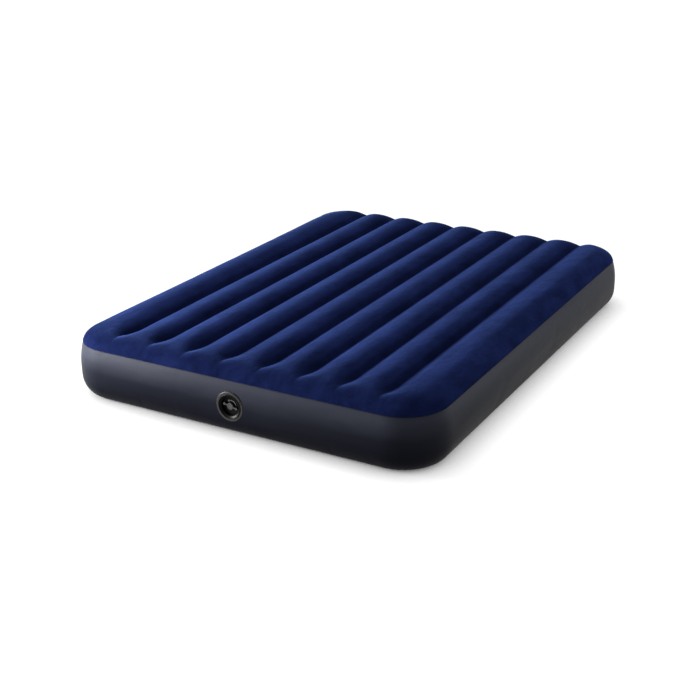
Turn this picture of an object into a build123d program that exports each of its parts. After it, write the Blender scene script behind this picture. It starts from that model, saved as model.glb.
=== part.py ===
"""Queen-size flocked air mattress with a two-in-one inflation and quick-deflation valve.

The mattress stands on Z = 0 with its centre over the origin. X runs across the sleeper, Y from the foot end
(the valve end, at -Y) to the head end, and Z is up. Every size is in millimetres.

The envelope is three welded vinyl panels: a flocked top sheet, a side band and a bottom sheet. Eight inner
beams tie the top to the bottom and leave nine long air chambers. Each beam is a web of yarn between two weld
strips. The valve sits in the side band at the middle of the foot end: a welded flange with a threaded neck, a
large screw plug with a face seal, and in the middle of that plug a small inflation port with its own plug and
an inner check flap.
"""

import math
import os

from build123d import *

# ---- envelope
WIDTH = 1520.0
LENGTH = 2030.0
HEIGHT = 250.0
CORNER_RADIUS = 180.0  # of the plan outline, at the widest level
FILM = 1.5  # thickness of every vinyl panel
EDGE = 106.0  # how far in from the widest outline the rounded edge reaches
BULGE_Z = 113.0  # the level at which the side band stands furthest out
BOTTOM_ROLL = 62.0  # how far in the side band touches the ground
ROLL_TOP = 78.0  # the level at which the side band starts to roll under
SEAM_Z = 206.0  # the weld between the top sheet and the side band
SEAM_INSET = 15.0
BOTTOM_SEAM_INSET = 60.0
BOTTOM_SEAM_TOP = 30.0  # height of the cutting prism, above the bottom grooves

# ---- chambers and beams
BEAMS = 8
PITCH = 157.0  # from one beam to the next
WELD_WIDTH = 10.0  # of the weld strip, and of the flat floor of a groove
TOP_GROOVE = {"depth": 26.0, "reach": 62.5, "centre": 78.5}
BOTTOM_GROOVE = {"depth": 10.0, "reach": 36.0, "centre": 44.0}
BEAM_FOOT_END = -850.0
BEAM_HEAD_END = 950.0
FOOT_FADE = 130.0  # length over which a groove runs out at the foot
HEAD_FADE = 75.0
GROOVE_RISE = 2.0  # how far above the face the faded end of a groove finishes
CUTTER_HEIGHT = 25.0
STRIP_THICKNESS = 1.0
WEB_THICKNESS = 0.8

# ---- valve: radii from its axis, and depths from the outermost level of the side band, positive inwards
VALVE_Z = 116.0
FLANGE_RADIUS = 55.0
FLANGE_FRONT = -1.0
FLANGE_SHELL = 3.0
MARK_RADIUS = 51.0  # of the sunken marks round the flange
MARK_WIDTH = 2.6
MARK_DEPTH = 0.6
MARKS = ((18, 34), (128, 148), (-52, -36))  # angles from and to, seen from outside
SKIRT_RADIUS = 67.0
SKIRT_THICKNESS = 1.4
SKIRT_DEPTH = 16.0  # how far in the ring behind the flange reaches the skirt
SEAT_RADIUS = 46.6
SEAT_DEPTH = 4.3
NECK_OUTER_RADIUS = 44.6
NECK_END = 31.0

THREAD_LEAD = 6.0
THREAD_TURNS = 1.5
THREAD_BASE = 3.0  # width of a thread at its root
THREAD_TIP = 1.4
THREAD_SINK = 0.6  # how far a thread is rooted in its wall
NECK_ROOT = 41.4
NECK_CREST = 39.3
PLUG_ROOT = 38.6
PLUG_CREST = 40.7
PLUG_THREAD_START = 25.0  # depth at which the plug's thread begins

RIM_RADIUS = 46.0
RIM_MOUTH = 41.6
RIM_FRONT = -3.0
RIM_CROWN = -1.2  # depth at which the rim's rounded front starts
RIM_BACK = 3.0
RECESS_RADIUS = 36.0
RECESS_SHOULDER = 3.0
FLOOR_FRONT = 12.0
FLOOR_BACK = 14.5
PLUG_END = 28.0
SEAL_MAJOR = 43.0
SEAL_MINOR = 1.3
SEAL_DEPTH = 2.95
SEAL_GROOVE = (41.5, 44.5, 1.6)  # inner radius, outer radius, depth of its floor

THROAT_RADIUS = 9.3  # takes the small plug's stem
THROAT_END = 12.0
PORT_RADIUS = 8.5  # takes a pump's nozzle
BOSS_RADIUS = 12.5
PORT_BACK = 22.0
BAR_ANGLE = -13.5  # of the grip bar across the plug, seen from outside
BAR_FRONT = 6.0
BAR_HALF_LENGTH = 24.5
BAR_WIDTH = 7.0
LOBE_RADIUS = 5.5
ARROW_RADIUS = 20.0
ARROW_WIDTH = 2.6
ARROW_HEIGHT = 1.2
ARROW_FROM = 8.0
ARROW_TO = 112.0
ARROW_HEAD = 4.5

HEAD_THICKNESS = 2.2
STEM_LENGTH = 5.5
STEM_TOP_RADIUS = 8.8
STEM_END_RADIUS = 8.0
STEM_BORE = 6.4
STRAP_WIDTH = 5.0
STRAP_THICKNESS = 1.2
HINGE_DISTANCE = 17.0  # from the valve's axis to the bend of the inflation plug's strap
HINGE_GAP = 0.3
ANCHOR_RADIUS = 4.8
ANCHOR_DISTANCE = 24.5
TAB_DISTANCE = 24.5
TAB_RADIUS = 4.8

FLAP_RADIUS = 11.0
FLAP_THICKNESS = 1.4
FLAP_GAP = 0.1
FLAP_HINGE_RISE = 14.8  # height of the flap's hinge above the valve's axis
FLAP_BARREL = 1.8
FLAP_BARREL_HALF = 4.0
PIN_RADIUS = 0.9
PIN_HALF = 7.5
PIN_CLEARANCE = 0.06
EAR_GAP = 0.3
EAR_THICKNESS = 2.5
EAR_RADIUS = 2.2

BEAM_LENGTH = BEAM_HEAD_END - BEAM_FOOT_END
BEAM_MIDDLE = (BEAM_HEAD_END + BEAM_FOOT_END) / 2
CORE_WIDTH = WIDTH - 2 * EDGE
CORE_LENGTH = LENGTH - 2 * EDGE
CORE_RADIUS = CORNER_RADIUS - EDGE
VALVE_FACE = -LENGTH / 2
GROOVE_X = [(i - (BEAMS - 1) / 2) * PITCH for i in range(BEAMS)]

# A half section through the valve: x is the radius, y the depth inwards.
valve_section = Plane(origin=(0, VALVE_FACE, VALVE_Z), x_dir=(1, 0, 0), z_dir=(0, 0, 1))
valve_axis = Axis((0, VALVE_FACE, VALVE_Z), (0, 1, 0))


def valve_plane(depth, angle=0.0):
    """A plane across the valve at a depth, looking outwards. Its x points right, turned by an angle in degrees."""
    turned = math.radians(angle)
    x_dir = (math.cos(turned), 0, math.sin(turned))
    return Plane(origin=(0, VALVE_FACE + depth, VALVE_Z), x_dir=x_dir, z_dir=(0, -1, 0))


# ---- envelope


def upright_plane(origin, outward):
    """An upright plane through a point, whose x points outwards."""
    return Plane(origin=origin, x_dir=outward, z_dir=outward.cross(Vector(0, 0, 1)))


def edge_section(plane, shrink):
    """The section of the rounded edge. Local x = 0 is where the flat middle ends; x grows outwards."""
    bulge = EDGE - shrink
    seam = EDGE - SEAM_INSET - shrink
    roll_start = EDGE - BOTTOM_ROLL
    with BuildSketch(plane) as section:
        with BuildLine():
            Line((0, shrink), (roll_start, shrink))
            EllipticalCenterArc((roll_start, ROLL_TOP), BOTTOM_ROLL - shrink, ROLL_TOP - shrink, -90, arc_size=90)
            Line((bulge, ROLL_TOP), (bulge, BULGE_Z))
            TangentArc((bulge, BULGE_Z), (seam, SEAM_Z), tangent=(0, 1))
            EllipticalCenterArc((0, SEAM_Z), seam, HEIGHT - SEAM_Z - shrink, 0, arc_size=90)
            Line((0, HEIGHT - shrink), (0, shrink))
        make_face()
    return section.sketch


def envelope(shrink):
    """The pillow's outer form, or the same form drawn in by a wall thickness."""
    with BuildPart() as body:
        with BuildSketch(Plane.XY.offset(shrink)):
            RectangleRounded(CORE_WIDTH, CORE_LENGTH, CORE_RADIUS)
        extrude(amount=HEIGHT - 2 * shrink)
        for outward in (Vector(1, 0, 0), Vector(0, 1, 0), Vector(-1, 0, 0), Vector(0, -1, 0)):
            reach = Vector(abs(outward.X) * CORE_WIDTH / 2, abs(outward.Y) * CORE_LENGTH / 2)
            straight = (abs(outward.Y) * CORE_WIDTH + abs(outward.X) * CORE_LENGTH) / 2 - CORE_RADIUS
            middle = Vector(outward.X * reach.X, outward.Y * reach.Y, 0)
            section = edge_section(upright_plane(middle, outward), shrink)
            extrude(section, amount=straight, both=True)
        for turn, (sign_x, sign_y) in enumerate(((1, 1), (-1, 1), (-1, -1), (1, -1))):
            centre_x = sign_x * (CORE_WIDTH / 2 - CORE_RADIUS)
            centre_y = sign_y * (CORE_LENGTH / 2 - CORE_RADIUS)
            centre = Vector(centre_x, centre_y, 0)
            outward = Vector(1, 0, 0).rotate(Axis.Z, 90 * turn)
            rim = centre + outward * CORE_RADIUS
            section = edge_section(upright_plane(rim, outward), shrink)
            revolve(section, axis=Axis(centre, (0, 0, 1)), revolution_arc=90)
    return body.part


def groove_section(plane, shrink, depth, reach, centre):
    """The section of a groove between two round ridges. Local y = 0 is the uncut face; the groove lies below it."""
    half_floor = WELD_WIDTH / 2
    drop = ((centre - half_floor) ** 2 - (centre - reach) ** 2 + depth**2) / (2 * depth)
    radius = math.hypot(centre - reach, drop) - shrink
    from_top = math.acos((drop - shrink) / radius)
    from_floor = math.acos((drop - depth - shrink) / radius)

    def ridge(angle, side):
        return (side * (centre - radius * math.sin(angle)), radius * math.cos(angle) - drop)

    middle = (from_top + from_floor) / 2
    left = ridge(from_top, -1)
    right = ridge(from_top, 1)
    with BuildSketch(plane) as section:
        with BuildLine():
            ThreePointArc(left, ridge(middle, -1), ridge(from_floor, -1))
            Line(ridge(from_floor, -1), ridge(from_floor, 1))
            ThreePointArc(ridge(from_floor, 1), ridge(middle, 1), right)
            Polyline(right, (right[0], CUTTER_HEIGHT), (left[0], CUTTER_HEIGHT), left)
        make_face()
    return section.sketch


def groove_cutter(x, shrink, shape, face_z, up):
    """One groove's cutter: a straight run, and at each end a stretch that climbs out of the face."""
    climb = shape["depth"] + GROOVE_RISE
    with BuildPart() as cutter:
        for end_y, run_out in ((BEAM_FOOT_END, -FOOT_FADE), (BEAM_HEAD_END, HEAD_FADE)):
            end_plane = Plane(origin=(x, end_y, face_z), x_dir=(up, 0, 0), z_dir=(0, -1, 0))
            end_section = groove_section(end_plane, shrink, **shape)
            extrude(end_section, amount=math.hypot(run_out, climb), dir=(0, run_out, up * climb))
        middle_plane = Plane(origin=(x, BEAM_MIDDLE, face_z), x_dir=(up, 0, 0), z_dir=(0, -1, 0))
        extrude(groove_section(middle_plane, shrink, **shape), amount=BEAM_LENGTH / 2, both=True)
    return cutter.part


def air_body(shrink):
    """The inflated form with its top and bottom grooves, drawn in by a wall thickness."""
    cutters = [groove_cutter(x, shrink, TOP_GROOVE, HEIGHT, 1) for x in GROOVE_X]
    cutters += [groove_cutter(x, shrink, BOTTOM_GROOVE, 0, -1) for x in GROOVE_X]
    with BuildPart() as body:
        add(envelope(shrink))
        add(cutters, mode=Mode.SUBTRACT)
    return body.part


def bottom_prism():
    """The space whose share of the film is the bottom sheet."""
    with BuildPart() as prism:
        with BuildSketch(Plane.XY.offset(-1)):
            inset = BOTTOM_SEAM_INSET
            RectangleRounded(WIDTH - 2 * inset, LENGTH - 2 * inset, CORNER_RADIUS - inset)
        extrude(amount=BOTTOM_SEAM_TOP + 1)
    return prism.part


with BuildPart() as film:
    add(air_body(0))
    add(air_body(FILM), mode=Mode.SUBTRACT)
    with BuildSketch(valve_plane(SKIRT_DEPTH)):
        Circle(FLANGE_RADIUS)
    extrude(amount=SKIRT_DEPTH + 5, mode=Mode.SUBTRACT)

with BuildPart() as top_sheet:
    add(film.part)
    with Locations((0, 0, SEAM_Z)):
        Box(WIDTH, LENGTH, HEIGHT, align=(Align.CENTER, Align.CENTER, Align.MIN), mode=Mode.INTERSECT)

with BuildPart() as side_band:
    add(film.part)
    with Locations((0, 0, SEAM_Z)):
        below_seam = (Align.CENTER, Align.CENTER, Align.MAX)
        Box(WIDTH + 2, LENGTH + 2, HEIGHT, align=below_seam, mode=Mode.INTERSECT)
    add(bottom_prism(), mode=Mode.SUBTRACT)

with BuildPart() as bottom_sheet:
    add(film.part)
    add(bottom_prism(), mode=Mode.INTERSECT)


# ---- beams: a web of yarn between two weld strips, under each groove

TOP_WELD_Z = HEIGHT - TOP_GROOVE["depth"] - FILM
BOTTOM_WELD_Z = BOTTOM_GROOVE["depth"] + FILM


def beam_piece(x, low_z, high_z, thickness):
    """A straight upright bar as long as the beam."""
    with BuildPart() as bar:
        with Locations((x, BEAM_MIDDLE, low_z)):
            size = (thickness, BEAM_LENGTH, high_z - low_z)
            Box(*size, align=(Align.CENTER, Align.CENTER, Align.MIN))
    return bar.part


beam_parts = {}
for number, x in enumerate(GROOVE_X, start=1):
    web_low = BOTTOM_WELD_Z + STRIP_THICKNESS
    web_high = TOP_WELD_Z - STRIP_THICKNESS
    beam_parts[f"beam_{number}_upper_strip"] = beam_piece(x, web_high, TOP_WELD_Z, WELD_WIDTH)
    beam_parts[f"beam_{number}_yarn_web"] = beam_piece(x, web_low, web_high, WEB_THICKNESS)
    beam_parts[f"beam_{number}_lower_strip"] = beam_piece(x, BOTTOM_WELD_Z, web_low, WELD_WIDTH)


# ---- valve


def thread(radius, tip, start_depth):
    """A helical ridge on a wall of this radius, winding outwards from a depth. tip is the ridge's crest radius."""
    rise = tip - radius
    root = -math.copysign(THREAD_SINK, rise)
    start = Vector(0, VALVE_FACE + start_depth, VALVE_Z)
    with BuildPart() as ridge:
        with BuildLine() as coil:
            Helix(THREAD_LEAD, THREAD_LEAD * THREAD_TURNS, radius, center=start, direction=(0, -1, 0))
        begin = coil.line @ 0
        radial = Vector(begin.X - start.X, 0, begin.Z - start.Z).normalized()
        with BuildSketch(Plane(origin=begin, x_dir=radial, z_dir=coil.line % 0)):
            with BuildLine():
                Polyline(
                    (root, -THREAD_BASE / 2),
                    (rise, -THREAD_TIP / 2),
                    (rise, THREAD_TIP / 2),
                    (root, THREAD_BASE / 2),
                    close=True,
                )
            make_face()
        sweep(path=coil.line, is_frenet=True)
    return ridge.part


def skirt():
    """The flange's weld skirt, which follows the inner face of the side band."""
    with BuildPart() as patch:
        add(envelope(FILM))
        add(envelope(FILM + SKIRT_THICKNESS), mode=Mode.SUBTRACT)
        with BuildSketch(valve_plane(SKIRT_DEPTH + 8)):
            Circle(SKIRT_RADIUS)
            Circle(FLANGE_RADIUS - FLANGE_SHELL / 2, mode=Mode.SUBTRACT)
        extrude(amount=SKIRT_DEPTH + 8, mode=Mode.INTERSECT)
    return patch.part


with BuildPart() as valve_flange:
    with BuildSketch(valve_section):
        with BuildLine():
            Polyline(
                (SEAT_RADIUS, FLANGE_FRONT),
                (SEAT_RADIUS, SEAT_DEPTH),
                (NECK_ROOT, SEAT_DEPTH),
                (NECK_ROOT, NECK_END),
                (NECK_OUTER_RADIUS, NECK_END),
                (NECK_OUTER_RADIUS, SEAT_DEPTH + FLANGE_SHELL),
                (FLANGE_RADIUS - FLANGE_SHELL, SEAT_DEPTH + FLANGE_SHELL),
                (FLANGE_RADIUS - FLANGE_SHELL, SKIRT_DEPTH),
                (FLANGE_RADIUS, SKIRT_DEPTH),
                (FLANGE_RADIUS, FLANGE_FRONT + 2),
                (FLANGE_RADIUS - 2, FLANGE_FRONT),
                close=True,
            )
        make_face()
    revolve(axis=valve_axis)
    for mark_from, mark_to in MARKS:
        with BuildSketch(valve_plane(FLANGE_FRONT + MARK_DEPTH)):
            with BuildLine():
                CenterArc((0, 0), MARK_RADIUS, mark_from, mark_to - mark_from)
                offset(amount=MARK_WIDTH / 2)
            make_face()
        extrude(amount=2 * MARK_DEPTH, mode=Mode.SUBTRACT)
    add(skirt())
    # The neck's ridges lie half a lead away from the plug's, so that the two mesh.
    add(thread(NECK_ROOT, NECK_CREST, PLUG_THREAD_START + THREAD_LEAD / 2))

with BuildPart() as plug_seal_ring:
    with BuildSketch(valve_section):
        with Locations((SEAL_MAJOR, SEAL_DEPTH)):
            Circle(SEAL_MINOR)
    revolve(axis=valve_axis)

bar_plane = valve_plane(FLOOR_FRONT, BAR_ANGLE)
bar_height = FLOOR_FRONT - BAR_FRONT
flap_depth = PORT_BACK + FLAP_GAP
hinge_depth = flap_depth + FLAP_THICKNESS / 2
flap_hinge = Vector(0, VALVE_FACE + hinge_depth, VALVE_Z + FLAP_HINGE_RISE)
flap_hinge_plane = Plane(origin=flap_hinge, x_dir=(0, 1, 0), z_dir=(1, 0, 0))

with BuildPart() as deflate_plug:
    with BuildSketch(valve_section):
        with BuildLine():
            Polyline(
                (RIM_RADIUS, RIM_CROWN),
                (RIM_RADIUS, RIM_BACK),
                (SEAL_GROOVE[1], RIM_BACK),
                (SEAL_GROOVE[1], SEAL_GROOVE[2]),
                (SEAL_GROOVE[0], SEAL_GROOVE[2]),
                (SEAL_GROOVE[0], RIM_BACK),
                (PLUG_ROOT, RIM_BACK),
                (PLUG_ROOT, PLUG_END),
                (RECESS_RADIUS, PLUG_END),
                (RECESS_RADIUS, FLOOR_BACK),
                (BOSS_RADIUS, FLOOR_BACK),
                (BOSS_RADIUS, PORT_BACK),
                (PORT_RADIUS, PORT_BACK),
                (PORT_RADIUS, THROAT_END),
                (THROAT_RADIUS, THROAT_END),
                (THROAT_RADIUS, BAR_FRONT),
                (BOSS_RADIUS, BAR_FRONT),
                (BOSS_RADIUS, FLOOR_FRONT),
                (RECESS_RADIUS, FLOOR_FRONT),
                (RECESS_RADIUS, RECESS_SHOULDER),
                (RIM_MOUTH, RIM_CROWN),
            )
            rim_middle = ((RIM_MOUTH + RIM_RADIUS) / 2, RIM_FRONT)
            ThreePointArc((RIM_MOUTH, RIM_CROWN), rim_middle, (RIM_RADIUS, RIM_CROWN))
        make_face()
    revolve(axis=valve_axis)
    with BuildSketch(bar_plane):
        Rectangle(2 * BAR_HALF_LENGTH, BAR_WIDTH)
        with Locations((-BAR_HALF_LENGTH, 0), (BAR_HALF_LENGTH, 0)):
            Circle(LOBE_RADIUS)
        Circle(BOSS_RADIUS - 0.5, mode=Mode.SUBTRACT)
    extrude(amount=bar_height)
    with BuildSketch(valve_plane(FLOOR_FRONT)):
        with BuildLine():
            CenterArc((0, 0), ARROW_RADIUS, ARROW_FROM, ARROW_TO - ARROW_FROM)
            offset(amount=ARROW_WIDTH / 2)
        make_face()
    extrude(amount=ARROW_HEIGHT)
    with BuildSketch(valve_plane(FLOOR_FRONT, ARROW_TO)):
        with BuildLine():
            Polyline(
                (ARROW_RADIUS - ARROW_HEAD, 0),
                (ARROW_RADIUS + ARROW_HEAD, 0),
                (ARROW_RADIUS, 1.6 * ARROW_HEAD),
                close=True,
            )
        make_face()
    extrude(amount=ARROW_HEIGHT)
    # Two ears carry the check flap's pin above the port's inner end.
    for side in (-1, 1):
        ear_start = side * (FLAP_BARREL_HALF + EAR_GAP)
        with BuildSketch(flap_hinge_plane.offset(ear_start)):
            Circle(EAR_RADIUS)
            with Locations((-(hinge_depth - FLOOR_BACK) / 2, -EAR_RADIUS / 2)):
                Rectangle(hinge_depth - FLOOR_BACK, EAR_RADIUS * 3)
            Circle(PIN_RADIUS, mode=Mode.SUBTRACT)
        extrude(amount=side * EAR_THICKNESS)
    add(thread(PLUG_ROOT, PLUG_CREST, PLUG_THREAD_START))

with BuildPart() as flap_pin:
    with BuildSketch(flap_hinge_plane):
        Circle(PIN_RADIUS)
    extrude(amount=PIN_HALF, both=True)

with BuildPart() as check_flap:
    with BuildSketch(valve_plane(flap_depth + FLAP_THICKNESS)):
        Circle(FLAP_RADIUS)
        with Locations((0, FLAP_HINGE_RISE / 2)):
            Rectangle(2 * FLAP_BARREL_HALF, FLAP_HINGE_RISE)
    extrude(amount=FLAP_THICKNESS)
    with BuildSketch(flap_hinge_plane):
        Circle(FLAP_BARREL)
    extrude(amount=FLAP_BARREL_HALF, both=True)
    with BuildSketch(flap_hinge_plane):
        Circle(PIN_RADIUS + PIN_CLEARANCE)
    extrude(amount=FLAP_BARREL_HALF, both=True, mode=Mode.SUBTRACT)

head_plane = valve_plane(BAR_FRONT - FLAP_GAP, BAR_ANGLE)

with BuildPart() as inflation_plug:
    with BuildSketch(head_plane):
        Circle(BOSS_RADIUS)
        with Locations((TAB_DISTANCE / 2, 0)):
            Rectangle(TAB_DISTANCE, STRAP_WIDTH)
        with Locations((TAB_DISTANCE, 0)):
            Circle(TAB_RADIUS)
    extrude(amount=HEAD_THICKNESS)
    strap_length = HINGE_DISTANCE - HINGE_GAP / 2
    with BuildSketch(head_plane):
        with Locations((-strap_length / 2, 0)):
            Rectangle(strap_length, STRAP_WIDTH)
    extrude(amount=STRAP_THICKNESS)
    # The head's raised ring, and the hollow tapered stem that closes the port.
    with BuildSketch(head_plane.offset(HEAD_THICKNESS)):
        Circle(BOSS_RADIUS - 2)
        Circle(BOSS_RADIUS - 4.5, mode=Mode.SUBTRACT)
    extrude(amount=0.8)
    with BuildSketch(head_plane):
        Circle(STEM_TOP_RADIUS)
    with BuildSketch(head_plane.offset(-STEM_LENGTH)):
        Circle(STEM_END_RADIUS)
    loft()
    with BuildSketch(head_plane.offset(-STEM_LENGTH)):
        Circle(STEM_BORE)
    extrude(amount=STEM_LENGTH, mode=Mode.SUBTRACT)

anchor_plane = valve_plane(BAR_FRONT, BAR_ANGLE)
with BuildPart() as strap_anchor:
    with BuildSketch(anchor_plane):
        tail = ANCHOR_DISTANCE - HINGE_DISTANCE - HINGE_GAP / 2
        with Locations((-ANCHOR_DISTANCE + tail / 2, 0)):
            Rectangle(tail, STRAP_WIDTH)
    extrude(amount=STRAP_THICKNESS + FLAP_GAP)
    with BuildSketch(anchor_plane):
        with Locations((-ANCHOR_DISTANCE, 0)):
            Circle(ANCHOR_RADIUS)
    extrude(amount=HEAD_THICKNESS)


# ---- write the parts

parts = {
    "top_sheet": top_sheet.part,
    "side_band": side_band.part,
    "bottom_sheet": bottom_sheet.part,
    **beam_parts,
    "valve_flange": valve_flange.part,
    "plug_seal_ring": plug_seal_ring.part,
    "deflate_plug": deflate_plug.part,
    "inflation_plug": inflation_plug.part,
    "strap_anchor": strap_anchor.part,
    "check_flap": check_flap.part,
    "flap_pin": flap_pin.part,
}
os.makedirs("parts", exist_ok=True)
for label, part in parts.items():
    part.label = label
    export_step(part, f"parts/{label}.step")
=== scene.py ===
import math

import bmesh
import bpy
import numpy as np
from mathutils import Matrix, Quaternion, Vector


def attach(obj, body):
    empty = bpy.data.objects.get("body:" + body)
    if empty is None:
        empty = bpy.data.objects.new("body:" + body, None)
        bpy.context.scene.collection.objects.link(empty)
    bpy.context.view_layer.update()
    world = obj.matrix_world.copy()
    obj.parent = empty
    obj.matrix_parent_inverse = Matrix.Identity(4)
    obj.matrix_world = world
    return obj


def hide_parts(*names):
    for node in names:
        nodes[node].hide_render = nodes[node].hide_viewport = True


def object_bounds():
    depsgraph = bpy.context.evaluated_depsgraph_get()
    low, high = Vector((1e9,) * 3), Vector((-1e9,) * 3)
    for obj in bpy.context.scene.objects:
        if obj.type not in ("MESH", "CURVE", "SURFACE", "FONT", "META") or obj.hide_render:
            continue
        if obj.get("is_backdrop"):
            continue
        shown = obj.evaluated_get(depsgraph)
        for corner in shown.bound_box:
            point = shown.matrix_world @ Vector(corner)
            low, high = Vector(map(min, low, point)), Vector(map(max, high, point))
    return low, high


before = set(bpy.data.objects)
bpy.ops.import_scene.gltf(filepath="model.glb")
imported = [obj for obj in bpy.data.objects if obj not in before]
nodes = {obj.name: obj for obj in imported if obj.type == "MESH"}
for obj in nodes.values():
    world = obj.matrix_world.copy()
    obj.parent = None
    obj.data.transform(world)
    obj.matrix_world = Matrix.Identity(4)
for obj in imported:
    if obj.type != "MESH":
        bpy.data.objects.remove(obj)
cad_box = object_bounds()
scene = bpy.context.scene

# ---- the mattress, in metres
WIDTH = 1.520
LENGTH = 2.030
HEIGHT = 0.250
EDGE = 0.106  # how far the rounded edge reaches out from the flat core
CORE_X = WIDTH / 2 - EDGE
CORE_Y = LENGTH / 2 - EDGE
CORE_R = 0.074  # corner radius of the core's outline
SEAM_Z = 0.206  # height of the seam between the top and the band
SEAM_IN = 0.015  # how far the seam lies inside the widest line
BULGE_Z = 0.113  # below this height the band stands upright
ROLL_TOP = 0.078  # below this height it rolls under
ROLL = 0.062  # how far it rolls under
BASE_RINGS = (0.029, 0.014)  # distances outside the core of the mesh lines on the flat underside
BASE_SEAM_OUT = 0.046  # outside this distance the underside's edge still belongs to the band
BASE_SEAM_Z = 0.010

# ---- the welds and their grooves
BEAMS = 8
PITCH = 0.157
WELD = 0.0022  # half a weld's width
BEAM_X = [(i - (BEAMS - 1) / 2) * PITCH for i in range(BEAMS)]
TOP_DEPTH = 0.026
BASE_DEPTH = 0.008
FOOT_END = -0.800  # where the grooves start to run out at the foot
FOOT_FADE = 0.190  # how far they run on from there
FOOT_NARROWS = 0.35  # the share of its width that a groove loses meanwhile
HEAD_END = 0.945
HEAD_FADE = 0.100
HEAD_NARROWS = 0.72
HEAD_CURVE = 1.4  # above 1, the depth fades late

# ---- the valve
VALVE = Vector((0, -LENGTH / 2, 0.116))
HOLE_R = 0.054
HOLE_MARGIN = 0.001
RIM_REACH = 0.020
REFINED_R = 0.100  # the band's mesh is refined this far round the valve
BAND_FRONT = -0.990  # points beyond this y lie in the band's foot side
ARROW_R = 0.0200  # middle of the turning arrow's arc
ARROW_HALF = 0.0048  # half its width
ARROW_FACE_Y = VALVE.y + 0.0109
ARROW_FACE_SPAN = 0.0006
FACING_OUT = -0.8  # a face whose normal's y is below this looks out of the valve

# ---- the mesh
WELD_STEPS = (0.0, WELD, 0.0045, 0.0085, 0.0145, 0.0225, 0.033, 0.0465, 0.0625)  # from a weld up its ridge
CORNER_STEPS = 9
CORNER_GAP = 0.004
ROWS = 141
ARC_STEPS = 15
BAND_STEPS = 10
UPRIGHT_STEPS = 4
TOP, BAND, BASE = range(3)

# ---- the cloth simulation
FRAMES = 20
CAP = 0.006  # how far a point may move
CALMING_PASSES = 6
OWN_SHARE = 0.4  # how much of its own movement a point keeps in one pass
HELD_BELOW = 0.012
HELD_RUN_OUT = 0.8  # the share of a groove's run-out that the beam still holds
HELD_VALVE_X = 0.100
HELD_VALVE_Z = 0.090
HELD_VALVE_FRONT = -1.0
TOUCH = 1e-4


# ---- the inflated form as one closed quad mesh


def corner_steps(inner):
    """Places along one axis through a rounded corner of the core, its two ends included."""
    return [inner + CORE_R * t for t in np.linspace(0, 1, CORNER_STEPS)]


def columns():
    """Where the mesh's lengthwise lines run: fine beside each weld, wider on the ridges."""
    xs = {round(side * step + x, 6) for x in BEAM_X for side in (-1, 1) for step in WELD_STEPS}
    xs |= {round((a + b) / 2, 6) for a, b in zip(BEAM_X, BEAM_X[1:])}
    inner = CORE_X - CORE_R
    xs = {x for x in xs if abs(x) < inner - CORNER_GAP}
    xs |= {round(side * x, 6) for x in corner_steps(inner) for side in (-1, 1)}
    return sorted(xs)


def rows():
    """Where the crosswise lines run: evenly along the core, finer in its corners."""
    inner = CORE_Y - CORE_R
    corner = corner_steps(inner)[1:]
    return sorted(list(np.linspace(-inner, inner, ROWS)) + corner + [-y for y in corner])


def rounded(x, y):
    """Pulls a grid point of the square-cornered core into its rounded corner."""
    ex = abs(x) - (CORE_X - CORE_R)
    ey = abs(y) - (CORE_Y - CORE_R)
    if ex <= 0 or ey <= 0:
        return x, y
    u = ex / CORE_R
    v = ey / CORE_R
    px = CORE_X - CORE_R + CORE_R * u * math.sqrt(1 - v * v / 2)
    py = CORE_Y - CORE_R + CORE_R * v * math.sqrt(1 - u * u / 2)
    return math.copysign(px, x), math.copysign(py, y)


def outward(x, y):
    """The unit direction straight out of the core's outline at one of its points."""
    ex = abs(x) - (CORE_X - CORE_R)
    ey = abs(y) - (CORE_Y - CORE_R)
    if ex > 1e-6 and ey > 1e-6:
        n = math.hypot(ex, ey)
        return math.copysign(ex / n, x), math.copysign(ey / n, y)
    if abs(x) > CORE_X - 1e-6:
        return math.copysign(1, x), 0.0
    return 0.0, math.copysign(1, y)


def edge_profile():
    """(distance outwards, height) down the rounded edge, and the step at which the seam lies."""
    points = []
    for t in np.linspace(0, math.pi / 2, ARC_STEPS)[1:]:
        points.append(((EDGE - SEAM_IN) * math.sin(t), SEAM_Z + (HEIGHT - SEAM_Z) * math.cos(t)))
    seam_step = len(points)
    for z in np.linspace(SEAM_Z, BULGE_Z, BAND_STEPS)[1:]:
        a = (z - BULGE_Z) / (SEAM_Z - BULGE_Z)
        points.append((EDGE - SEAM_IN * a * a, z))
    for z in np.linspace(BULGE_Z, ROLL_TOP, UPRIGHT_STEPS)[1:]:
        points.append((EDGE, z))
    for t in np.linspace(0, math.pi / 2, ARC_STEPS)[1:]:
        points.append((EDGE - ROLL + ROLL * math.cos(t), ROLL_TOP - ROLL_TOP * math.sin(t)))
    points += [(out, 0.0) for out in BASE_RINGS]
    return points, seam_step


def past_weld(y):
    """0 along the weld, rising to 1 where its groove has run out."""
    return min(max((FOOT_END - y) / FOOT_FADE, (y - HEAD_END) / HEAD_FADE, 0.0), 1.0)


def groove(x, y, depth):
    """How far the surface is drawn down at (x, y). Past a weld's end the groove narrows as it climbs."""
    half = PITCH / 2 - WELD
    u = max(min(abs(x - b) for b in BEAM_X) - WELD, 0.0)
    t = past_weld(y)
    if y > 0:
        kept = 1 - t**HEAD_CURVE
        narrowed = half * (1 - HEAD_NARROWS * t)
    else:
        kept = 1 - t * t * (3 - 2 * t)
        narrowed = half * (1 - FOOT_NARROWS * t)
    return depth * kept * max(1 - u / narrowed, 0.0) ** 2


def on_weld(x, y):
    """Whether a point of the top lies where a beam holds it down."""
    return min(abs(x - b) for b in BEAM_X) < WELD + TOUCH and past_weld(y) < HELD_RUN_OUT


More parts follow.
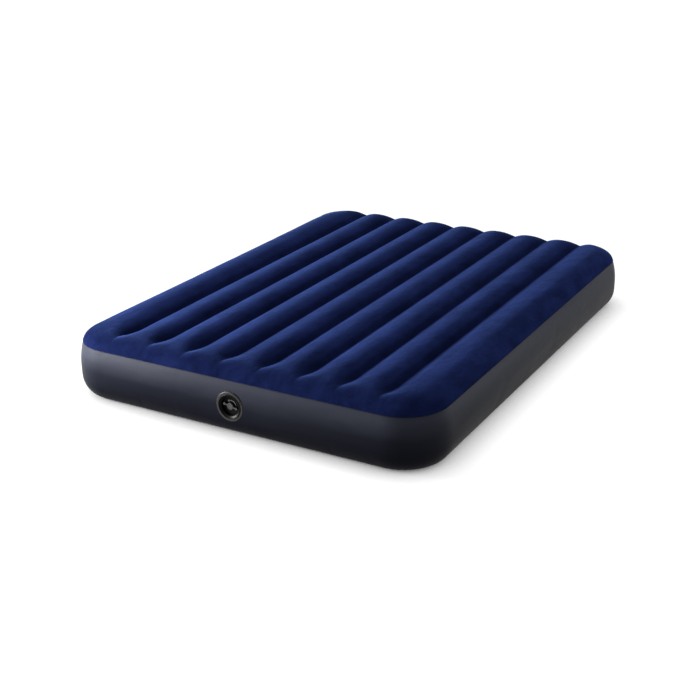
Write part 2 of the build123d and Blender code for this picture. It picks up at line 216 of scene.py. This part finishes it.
def side_point(x, y, out, z, above_seam):
    """A point of the rounded edge, straight out from (x, y) on the core's outline."""
    dx, dy = outward(x, y)
    px = x + dx * out
    py = y + dy * out
    if not above_seam:
        return px, py, z
    fade = min(1.0, max(0.0, (z - SEAM_Z) / (HEIGHT - SEAM_Z)))
    return px, py, z - groove(px, py, TOP_DEPTH) * fade


def held_on_side(x, y, z):
    """Whether the simulation holds a point of the rounded edge: its foot, round the valve, and on a weld."""
    near_valve = abs(x) < HELD_VALVE_X and y < HELD_VALVE_FRONT and abs(z - VALVE.z) < HELD_VALVE_Z
    return z < HELD_BELOW or near_valve or (z > SEAM_Z and on_weld(x, y))


def side_panel(step, seam_step, out, z):
    """Which welded panel a ring of the rounded edge belongs to."""
    if step <= seam_step:
        return TOP
    return BAND if out >= BASE_SEAM_OUT or z > BASE_SEAM_Z else BASE


def air_form():
    """Vertices, faces, each face's panel and the vertices held in the simulation."""
    xs = columns()
    ys = rows()
    nx = len(xs)
    ny = len(ys)
    verts = []
    faces = []
    panel = []
    held = []

    def grid(z, depth, sign):
        """One flat side of the core with its grooves: sign 1 for the top, -1 for the underside."""
        start = len(verts)
        for y in ys:
            for x in xs:
                px, py = rounded(x, y)
                verts.append((px, py, z - sign * groove(px, py, depth)))
                held.append(on_weld(x, y) or sign < 0)
        return start

    top = grid(HEIGHT, TOP_DEPTH, 1)
    base = grid(0.0, BASE_DEPTH, -1)
    for j in range(ny - 1):
        for i in range(nx - 1):
            a = j * nx + i
            faces.append((top + a, top + a + 1, top + a + nx + 1, top + a + nx))
            panel.append(TOP)
            faces.append((base + a, base + a + nx, base + a + nx + 1, base + a + 1))
            panel.append(BASE)

    loop = list(range(nx))
    loop += [j * nx + nx - 1 for j in range(1, ny)]
    loop += [(ny - 1) * nx + i for i in range(nx - 2, -1, -1)]
    loop += [j * nx for j in range(ny - 2, 0, -1)]
    ends = [(a, (a + 1) % len(loop)) for a in range(len(loop))]
    profile, seam_step = edge_profile()
    previous = [top + k for k in loop]
    for step, (out, z) in enumerate(profile, start=1):
        ring = []
        for k in loop:
            x, y, _ = verts[top + k]
            point = side_point(x, y, out, z, step < seam_step)
            ring.append(len(verts))
            verts.append(point)
            held.append(held_on_side(point[0], point[1], z) or step == seam_step)
        for a, b in ends:
            faces.append((previous[a], ring[a], ring[b], previous[b]))
            panel.append(side_panel(step, seam_step, out, z))
        previous = ring
    for a, b in ends:
        faces.append((previous[a], base + loop[a], base + loop[b], previous[b]))
        panel.append(BASE)
    return verts, faces, panel, held


def new_object(name, verts, faces):
    mesh = bpy.data.meshes.new(name)
    mesh.from_pydata([tuple(v) for v in verts], [], faces)
    mesh.update()
    obj = bpy.data.objects.new(name, mesh)
    scene.collection.objects.link(obj)
    for poly in mesh.polygons:
        poly.use_smooth = True
    return obj


def coordinates(mesh):
    co = np.empty(len(mesh.vertices) * 3, np.float32)
    mesh.vertices.foreach_get("co", co)
    return co.reshape(-1, 3)


def calmed(shift, faces, held):
    """Evens out the cloth's movement between neighbouring points; the held ones stay where they are."""
    corners = np.array(faces)
    a = corners.ravel()
    b = np.roll(corners, -1, 1).ravel()
    count = (np.bincount(a, minlength=len(shift)) + np.bincount(b, minlength=len(shift)))[:, None]
    for _ in range(CALMING_PASSES):
        total = np.zeros_like(shift)
        np.add.at(total, a, shift[b])
        np.add.at(total, b, shift[a])
        shift = OWN_SHARE * shift + (1 - OWN_SHARE) * total / count
        shift[held] = 0.0
    return shift


def blow_up(verts, faces, held):
    """Inflates the form as cloth under pressure, held at its welds, its seam, its base and its valve."""
    form = new_object("form", verts, faces)
    pins = form.vertex_groups.new(name="pins")
    pins.add([i for i, h in enumerate(held) if h], 1.0, "REPLACE")
    cloth = form.modifiers.new("air", "CLOTH")
    settings = cloth.settings
    settings.quality = 6
    settings.mass = 0.35
    settings.tension_stiffness = 40
    settings.compression_stiffness = 40
    settings.shear_stiffness = 20
    settings.bending_stiffness = 0.6
    settings.use_pressure = True
    settings.uniform_pressure_force = 4.0
    settings.vertex_group_mass = "pins"
    settings.shrink_min = -0.001
    settings.effector_weights.gravity = 0
    cloth.collision_settings.use_collision = False
    cloth.point_cache.frame_start = 1
    cloth.point_cache.frame_end = FRAMES
    for number in range(1, FRAMES + 1):
        scene.frame_set(number)
    evaluated = form.evaluated_get(bpy.context.evaluated_depsgraph_get())
    moved = coordinates(evaluated.to_mesh()).copy()
    evaluated.to_mesh_clear()
    bpy.data.objects.remove(form)
    scene.frame_set(1)
    shift = moved - verts
    size = np.linalg.norm(shift, axis=1, keepdims=True)
    shift *= np.minimum(1.0, CAP / np.maximum(size, 1e-9))
    print("simulated: largest move", float(size.max()), "mean", float(size.mean()))
    return verts + calmed(shift, faces, np.array(held))


verts, faces, panel, held = air_form()
verts = np.array(verts, np.float32)
verts = blow_up(verts, faces, held)


# ---- the three welded panels and the weld between two of them


def panel_object(name, kind):
    chosen = [f for f, p in zip(faces, panel) if p == kind]
    used = sorted({i for f in chosen for i in f})
    place = {old: new for new, old in enumerate(used)}
    return new_object(name, verts[used], [tuple(place[i] for i in f) for f in chosen])


def subdivide(obj):
    modifier = obj.modifiers.new("smooth", "SUBSURF")
    modifier.levels = 1
    modifier.render_levels = 1
    modifier.boundary_smooth = "PRESERVE_CORNERS"


def cut_valve_hole(obj):
    """Opens the band round the valve; the flange's ring covers the edge."""
    bm = bmesh.new()
    bm.from_mesh(obj.data)

    def radius(vert):
        return math.hypot(vert.co.x - VALVE.x, vert.co.z - VALVE.z)

    near = [f for f in bm.faces if all(v.co.y < BAND_FRONT and radius(v) < REFINED_R for v in f.verts)]
    edges = dict.fromkeys(e for f in near for e in f.edges)
    bmesh.ops.subdivide_edges(bm, edges=list(edges), cuts=1, use_grid_fill=True)
    front = [f for f in bm.faces if f.calc_center_median().y < BAND_FRONT]
    inside = [f for f in front if all(radius(v) < HOLE_R + HOLE_MARGIN for v in f.verts)]
    bmesh.ops.delete(bm, geom=inside, context="FACES")
    open_edge = [v for v in bm.verts if v.is_boundary and v.co.y < BAND_FRONT]
    for v in open_edge:
        if radius(v) >= HOLE_R + RIM_REACH:
            continue
        scale = HOLE_R / radius(v)
        v.co.x = VALVE.x + (v.co.x - VALVE.x) * scale
        v.co.z = VALVE.z + (v.co.z - VALVE.z) * scale
    bm.to_mesh(obj.data)
    bm.free()
    for poly in obj.data.polygons:
        poly.use_smooth = True


def seam_bead(radius=0.0016, sides=8):
    """The welded lip between the top and the band: a thin bead that follows their shared edge."""
    edge_of_top = {i for f, p in zip(faces, panel) if p == TOP for i in f}
    edge_of_band = {i for f, p in zip(faces, panel) if p == BAND for i in f}
    line = verts[sorted(edge_of_top & edge_of_band)]
    line = line[np.argsort(np.arctan2(line[:, 1] / LENGTH, line[:, 0] / WIDTH))]
    count = len(line)
    along = np.roll(line, -1, 0) - np.roll(line, 1, 0)
    along[:, 2] = 0
    along /= np.linalg.norm(along, axis=1, keepdims=True)
    out = np.stack([along[:, 1], -along[:, 0], np.zeros(count)], 1)
    points = []
    quads = []
    for k in range(sides):
        a = 2 * math.pi * k / sides
        ring = line + out * (radius * math.cos(a)) + np.array([0, 0, radius * 0.9 * math.sin(a)])
        points += [tuple(p) for p in ring]
        following = (k + 1) % sides
        for i in range(count):
            j = (i + 1) % count
            quads.append((k * count + i, k * count + j, following * count + j, following * count + i))
    return new_object("top_seam_weld", points, quads)


top = panel_object("flocked_top_panel", TOP)
band = panel_object("side_band_panel", BAND)
base = panel_object("base_panel", BASE)
seam = seam_bead()
cut_valve_hole(band)
for obj in (top, band, base):
    subdivide(obj)


# ---- shading


class Tree:
    """Short ways to add nodes to one shading tree. What they give back is the new node's output."""

    def __init__(self, node_tree):
        self.nodes = node_tree.nodes
        self.links = node_tree.links

    def feed(self, socket, value):
        """Links an input to an output, or sets it to a plain value."""
        if isinstance(value, bpy.types.NodeSocket):
            self.links.new(value, socket)
        else:
            socket.default_value = value

    def add(self, kind, sockets, **settings):
        """The new node itself, with its settings made and its inputs fed by name or number."""
        node = self.nodes.new(kind)
        for name, value in settings.items():
            setattr(node, name, value)
        for name, value in sockets.items():
            self.feed(node.inputs[name], value)
        return node

    def coordinate(self, kind):
        return self.add("ShaderNodeTexCoord", {}).outputs[kind]

    def axes(self, vector):
        """The three components of a vector, as outputs named X, Y and Z."""
        return self.add("ShaderNodeSeparateXYZ", {"Vector": vector}).outputs

    def math(self, operation, *values):
        return self.add("ShaderNodeMath", dict(enumerate(values)), operation=operation).outputs[0]

    def span(self, value, low, high, to_low=0.0, to_high=1.0, easing="SMOOTHSTEP"):
        """Carries the range low to high over to another one, level beyond its ends."""
        sockets = {"Value": value, "From Min": low, "From Max": high, "To Min": to_low, "To Max": to_high}
        return self.add("ShaderNodeMapRange", sockets, interpolation_type=easing).outputs["Result"]

    def noise(self, coords, scale, detail, roughness, stretch=None):
        if stretch:
            coords = self.add("ShaderNodeMapping", {"Vector": coords, "Scale": stretch}).outputs["Vector"]
        sockets = {"Vector": coords, "Scale": scale, "Detail": detail, "Roughness": roughness}
        return self.add("ShaderNodeTexNoise", sockets).outputs["Fac"]

    def ramp(self, value, stops):
        """A colour that changes with a value, through (place, colour) stops."""
        node = self.add("ShaderNodeValToRGB", {"Fac": value})
        elements = node.color_ramp.elements
        for element, (place, colour) in zip(elements, (stops[0], stops[-1])):
            element.position = place
            element.color = (*colour, 1)
        for place, colour in stops[1:-1]:
            elements.new(place).color = (*colour, 1)
        return node.outputs["Color"]

    def blend(self, how, factor, first, second):
        """Two colours blended; in colour mode the node's inputs are 6 and 7 and its output is 2."""
        sockets = {0: factor, 6: first, 7: second}
        return self.add("ShaderNodeMix", sockets, data_type="RGBA", blend_type=how).outputs[2]

    def bump(self, height, strength, distance, over=None):
        """A surface relief, on top of another one where that is given."""
        sockets = {"Height": height, "Strength": strength, "Distance": distance}
        if over is not None:
            sockets["Normal"] = over
        return self.add("ShaderNodeBump", sockets).outputs["Normal"]


class Look(Tree):
    """A procedural material being put together."""

    def __init__(self, name):
        self.material = bpy.data.materials.new(name)
        self.material.use_nodes = True
        super().__init__(self.material.node_tree)
        self.coords = self.coordinate("Object")

    def finish(self, sockets):
        """Feeds the shader's inputs by name and gives back the material."""
        shader = self.nodes["Principled BSDF"]
        for name, value in sockets.items():
            self.feed(shader.inputs[name], value)
        return self.material


# ---- the flocked top

FLOCK_DARK = (0.0061, 0.0101, 0.0455)
FLOCK_LIGHT = (0.0132, 0.0226, 0.099)
# Painted light and shade on the flocked top, standing in for light from the left
FLANK_PAINT_FAR = 0.050  # the painted flank light and shade shows between these distances from a weld
FLANK_PAINT_NEAR = 0.010
FLANK_PAINT_EDGE_X = (0.610, 0.640)  # and it fades out between these distances from the middle
FLANK_PAINT_EDGE_Y = (0.90, 0.98)
FLANK_PAINT_TILT = 0.45  # the sideways tilt of the surface at which it shows fully
PAINTED_FOOT_SHADE = (-0.96, -0.66, 0.60)  # where the foot's painted shade is full, where it ends, and the colour left in it
# the same for the painted shade along the leftmost edge
PAINTED_LEFT_SHADE = (-0.74, -0.60, 0.74)
# from painted shade on flanks that face right to painted highlight on flanks that face left
FLANK_PAINT_STOPS = [
    (0.0, (0.34, 0.32, 0.34)),
    (0.28, (0.54, 0.54, 0.54)),
    (0.5, (0.58, 0.58, 0.58)),
    (1.0, (1.0, 1.0, 0.86)),
]


def paint_flank_light_and_shade(look, colour):
    """Painted light and shade: beside a weld, the flank that faces left is painted lighter and the one that
    faces right darker.
    """
    place = look.axes(look.coords)
    facing = look.axes(look.coordinate("Normal"))
    from_crest = look.math("PINGPONG", place["X"], PITCH / 2)
    beside = look.span(from_crest, PITCH / 2 - FLANK_PAINT_FAR, PITCH / 2 - FLANK_PAINT_NEAR)
    across = look.span(look.math("ABSOLUTE", place["X"]), *FLANK_PAINT_EDGE_X, 1.0, 0.0)
    along = look.span(look.math("ABSOLUTE", place["Y"]), *FLANK_PAINT_EDGE_Y, 1.0, 0.0)
    mask = look.math("MULTIPLY", look.math("MULTIPLY", beside, across), along)
    flank_tilt = look.math("MULTIPLY", facing["X"], mask)
    tone = look.ramp(look.span(flank_tilt, FLANK_PAINT_TILT, -FLANK_PAINT_TILT), FLANK_PAINT_STOPS)
    # painted shade: the colour darkens over the foot and along the leftmost edge
    foot_painted_shade = look.span(place["Y"], *PAINTED_FOOT_SHADE, 1.0)
    left_painted_shade = look.span(place["X"], *PAINTED_LEFT_SHADE, 1.0)
    toned = look.blend("MULTIPLY", 1.0, colour, tone)
    return look.blend("MULTIPLY", 1.0, toned, look.math("MULTIPLY", foot_painted_shade, left_painted_shade))


def flock():
    """Short pile: clouded dye, single fibres, and soft dents where it has been touched."""
    look = Look("navy_flock")
    clouds = look.noise(look.coords, 11.0, 9.0, 0.70, (1.0, 0.55, 1.0))
    fibre = look.noise(look.coords, 900.0, 2.0, 0.7)
    touched = look.noise(look.coords, 26.0, 6.0, 0.68, (1.0, 0.6, 1.0))
    colouring = look.ramp(clouds, [(0.34, FLOCK_DARK), (0.66, FLOCK_LIGHT)])
    speckle = look.ramp(fibre, [(0.3, (0.55, 0.55, 0.6)), (0.7, (1, 1, 1))])
    return look.finish(
        {
            "Base Color": paint_flank_light_and_shade(look, look.blend("MULTIPLY", 0.45, colouring, speckle)),
            "Normal": look.bump(fibre, 0.45, 0.0007, over=look.bump(touched, 0.5, 0.006)),
            "Roughness": 0.85,
            "Sheen Weight": 0.17,
            "Sheen Roughness": 0.30,
            "Sheen Tint": (0.17, 0.31, 0.95, 1),
            "Specular IOR Level": 0.0,
        }
    )


# ---- the other materials


def vinyl(name, light, middle, dark, roughness=0.42):
    """Satin vinyl: a fine embossed grain, faint streaks, and painted shade that makes it darker towards its
    foot.
    """
    look = Look(name)
    # painted shade: the colour goes darker with lower height, between 0.21 m and 0.02 m, with the streaks
    # mixed in
    rise = look.span(look.axes(look.coords)["Z"], 0.02, 0.21, easing="LINEAR")
    streaks = look.noise(look.coords, 3.5, 3.0, 0.5, (1, 1, 3))
    colouring = look.math("MULTIPLY_ADD", streaks, 0.22, rise)
    waves = look.noise(look.coords, 7.0, 3.0, 0.55, (1, 1, 2.5))
    grain = look.add("ShaderNodeTexVoronoi", {"Vector": look.coords, "Scale": 650.0}).outputs["Distance"]
    return look.finish(
        {
            "Base Color": look.ramp(colouring, [(0.28, dark), (0.62, middle), (1.0, light)]),
            "Normal": look.bump(grain, 0.18, 0.0004, over=look.bump(waves, 0.25, 0.004)),
            "Roughness": look.span(streaks, 0.0, 1.0, roughness - 0.06, roughness + 0.1, "LINEAR"),
            "Specular IOR Level": 0.04,
        }
    )


def arrow_mask(look):
    """1 on the turning arrow's raised face, 0 on the rest of the large plug."""
    place = look.axes(look.coords)
    facing = look.axes(look.coordinate("Normal"))
    rise = look.math("SUBTRACT", place["Z"], VALVE.z)
    across = look.math("MULTIPLY", place["X"], place["X"])
    radius = look.math("SQRT", look.math("MULTIPLY_ADD", rise, rise, across))
    in_ring = look.math("COMPARE", radius, ARROW_R, ARROW_HALF)
    in_face = look.math("COMPARE", place["Y"], ARROW_FACE_Y, ARROW_FACE_SPAN)
    outwards = look.math("LESS_THAN", facing["Y"], FACING_OUT)
    return look.math("MULTIPLY", look.math("MULTIPLY", in_ring, in_face), outwards)


def plastic(name, colour, roughness, specular=0.5, arrow=None):
    """Moulded plastic with clouded dye and fine pits; arrow is the colour of the turning arrow's face."""
    look = Look(name)
    clouds = look.noise(look.coords, 60.0, 4.0, 0.6)
    pits = look.noise(look.coords, 1800.0, 2.0, 0.5)
    tone = look.ramp(clouds, [(0.3, tuple(0.75 * c for c in colour)), (0.7, colour)])
    if arrow:
        tone = look.blend("MIX", arrow_mask(look), tone, (*arrow, 1))
    return look.finish(
        {
            "Base Color": tone,
            "Normal": look.bump(pits, 0.12, 0.0002),
            "Roughness": look.span(clouds, 0.0, 1.0, roughness - 0.05, roughness + 0.08, "LINEAR"),
            "Specular IOR Level": specular,
        }
    )


def yarn():
    """The beams' webs: rows of pale yarn."""
    look = Look("beam_yarn")
    sockets = {"Vector": look.coords, "Scale": 160.0, "Distortion": 1.5}
    rows_of_yarn = look.add("ShaderNodeTexWave", sockets, bands_direction="Y").outputs["Fac"]
    return look.finish(
        {
            "Base Color": look.ramp(rows_of_yarn, [(0.2, (0.30, 0.30, 0.29)), (0.8, (0.72, 0.72, 0.70))]),
            "Normal": look.bump(rows_of_yarn, 0.5, 0.0006),
            "Roughness": 0.8,
        }
    )


def floor_look():
    """Pale and evenly self-lit, with a painted contact shadow: its glow darkens where something stands close
    to it.
    """
    look = Look("floor_white")
    specks = look.noise(look.coords, 40.0, 2.0, 0.5)
    # painted shadow: the glow is dimmed by occlusion within 0.10 m of things
    painted_contact_shadow = look.add("ShaderNodeAmbientOcclusion", {"Distance": 0.10}, samples=3).outputs["AO"]
    glow_and_painted_shadow = [(0.05, (0.05, 0.05, 0.055)), (0.42, (0.58, 0.58, 0.58)), (0.90, (0.97, 0.97, 0.97))]
    return look.finish(
        {
            "Base Color": look.ramp(specks, [(0.3, (0.095, 0.095, 0.095)), (0.7, (0.105, 0.105, 0.105))]),
            "Roughness": 0.9,
            "Specular IOR Level": 0.0,
            "Emission Color": look.ramp(painted_contact_shadow, glow_and_painted_shadow),
            "Emission Strength": 1.0,
        }
    )


def dress(obj, material):
    obj.data.materials.clear()
    obj.data.materials.append(material)


# light, middle and dark stops of the vinyls' painted shade by height
BAND_COLOURS = ((0.0150, 0.0163, 0.0240), (0.0033, 0.0038, 0.0071), (0.0006, 0.0008, 0.0028))
BASE_COLOURS = ((0.03, 0.032, 0.042), (0.018, 0.019, 0.028), (0.010, 0.011, 0.018))
dress(top, flock())
dress(band, vinyl("band_vinyl", *BAND_COLOURS))
dress(base, vinyl("base_vinyl", *BASE_COLOURS, roughness=0.5))
dress(seam, plastic("seam_vinyl", (0.0030, 0.0034, 0.010), 0.5, 0.1))

valve_grey = plastic("valve_grey", (0.013, 0.013, 0.012), 0.42, 0.2)
valve_black = plastic("valve_black", (0.0012, 0.0012, 0.0014), 0.42, 0.05, arrow=(0.060, 0.060, 0.058))
valve_grey_soft = plastic("valve_grey_soft", (0.024, 0.024, 0.025), 0.38, 0.3)
seal_rubber = plastic("seal_rubber", (0.02, 0.02, 0.02), 0.6)
for name, material in (
    ("valve_flange", valve_grey),
    ("flap_pin", valve_grey),
    ("deflate_plug", valve_black),
    ("inflation_plug", valve_grey_soft),
    ("strap_anchor", valve_grey_soft),
    ("check_flap", seal_rubber),
    ("plug_seal_ring", seal_rubber),
):
    dress(nodes[name], material)

weld_strip = plastic("weld_strip", (0.10, 0.10, 0.12), 0.45)
beam_yarn = yarn()
for name, obj in nodes.items():
    if name.endswith("yarn_web"):
        dress(obj, beam_yarn)
    elif name.endswith("strip"):
        dress(obj, weld_strip)

# ---- what each piece rides on and stands for
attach(seam, "mattress")
for obj, node, slot in (
    (top, "top_sheet", "flocked_top"),
    (band, "side_band", "band_vinyl"),
    (base, "bottom_sheet", "base_vinyl"),
):
    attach(obj, "mattress")
    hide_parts(node)

# ---- floor, lights, backdrop and camera
FLOOR_HALF = 60
CAMERA_PLACE = Vector((2.2276, -4.0966, 1.8644))
CAMERA_TARGET = Vector((0.1188, -0.3790, 0.12))
CAMERA_ROLL = -0.674  # degrees
CAMERA_LENS = 62.166  # millimetres, on a sensor 36 wide

floor_corners = [(x * FLOOR_HALF, y * FLOOR_HALF, 0) for x, y in ((-1, -1), (1, -1), (1, 1), (-1, 1))]
floor = new_object("floor", floor_corners, [(0, 1, 2, 3)])
dress(floor, floor_look())
floor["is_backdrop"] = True


def light(name, kind, power):
    data = bpy.data.lights.new(name, kind)
    data.energy = power
    obj = bpy.data.objects.new(name, data)
    scene.collection.objects.link(obj)
    return obj


def area_light(name, place, target, size, power):
    """A soft rectangle of light at a place, aimed at a target."""
    obj = light(name, "AREA", power)
    obj.data.shape = "RECTANGLE"
    obj.data.size, obj.data.size_y = size
    obj.location = place
    obj.rotation_euler = (Vector(target) - Vector(place)).to_track_quat("-Z", "Y").to_euler()


def sun(name, towards, power, angle):
    """A distant soft light that comes from the direction towards."""
    obj = light(name, "SUN", power)
    obj.data.angle = math.radians(angle)
    obj.rotation_euler = Vector(towards).to_track_quat("Z", "Y").to_euler()


def studio():
    """A backdrop that is white at the horizon and greyer overhead."""
    world = bpy.data.worlds.new("studio")
    world.use_nodes = True
    tree = Tree(world.node_tree)
    height = tree.axes(tree.coordinate("Generated"))["Z"]
    background = tree.nodes["Background"]
    sky = tree.ramp(height, [(0.30, (1, 1, 1)), (0.60, (0.66, 0.66, 0.66))])
    tree.feed(background.inputs["Color"], sky)
    tree.feed(background.inputs["Strength"], 1.0)
    return world


sun("key", (-0.80, 0.30, 0.90), 2.0, 35)
area_light("front_left", (-1.8, -1.85, 0.66), (-0.4, -1.0, 0.12), (0.8, 0.5), 208)
area_light("right_back", (2.8, 1.5, 0.45), (0.8, 0.7, 0.12), (1.0, 0.5), 24)
scene.world = studio()
scene.view_settings.view_transform = "Standard"

camera_data = bpy.data.cameras.new("camera")
camera_data.lens = CAMERA_LENS
camera_data.sensor_width = 36.0
camera = bpy.data.objects.new("camera", camera_data)
scene.collection.objects.link(camera)
aim = (CAMERA_TARGET - CAMERA_PLACE).to_track_quat("-Z", "Y")
camera.location = CAMERA_PLACE
camera.rotation_euler = (aim @ Quaternion((0, 0, 1), math.radians(CAMERA_ROLL))).to_euler()
scene.camera = camera

seen_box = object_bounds()
plain = lambda box: [[float(v) for v in corner] for corner in box]
{"cad": plain(cad_box), "visual": plain(seen_box)}
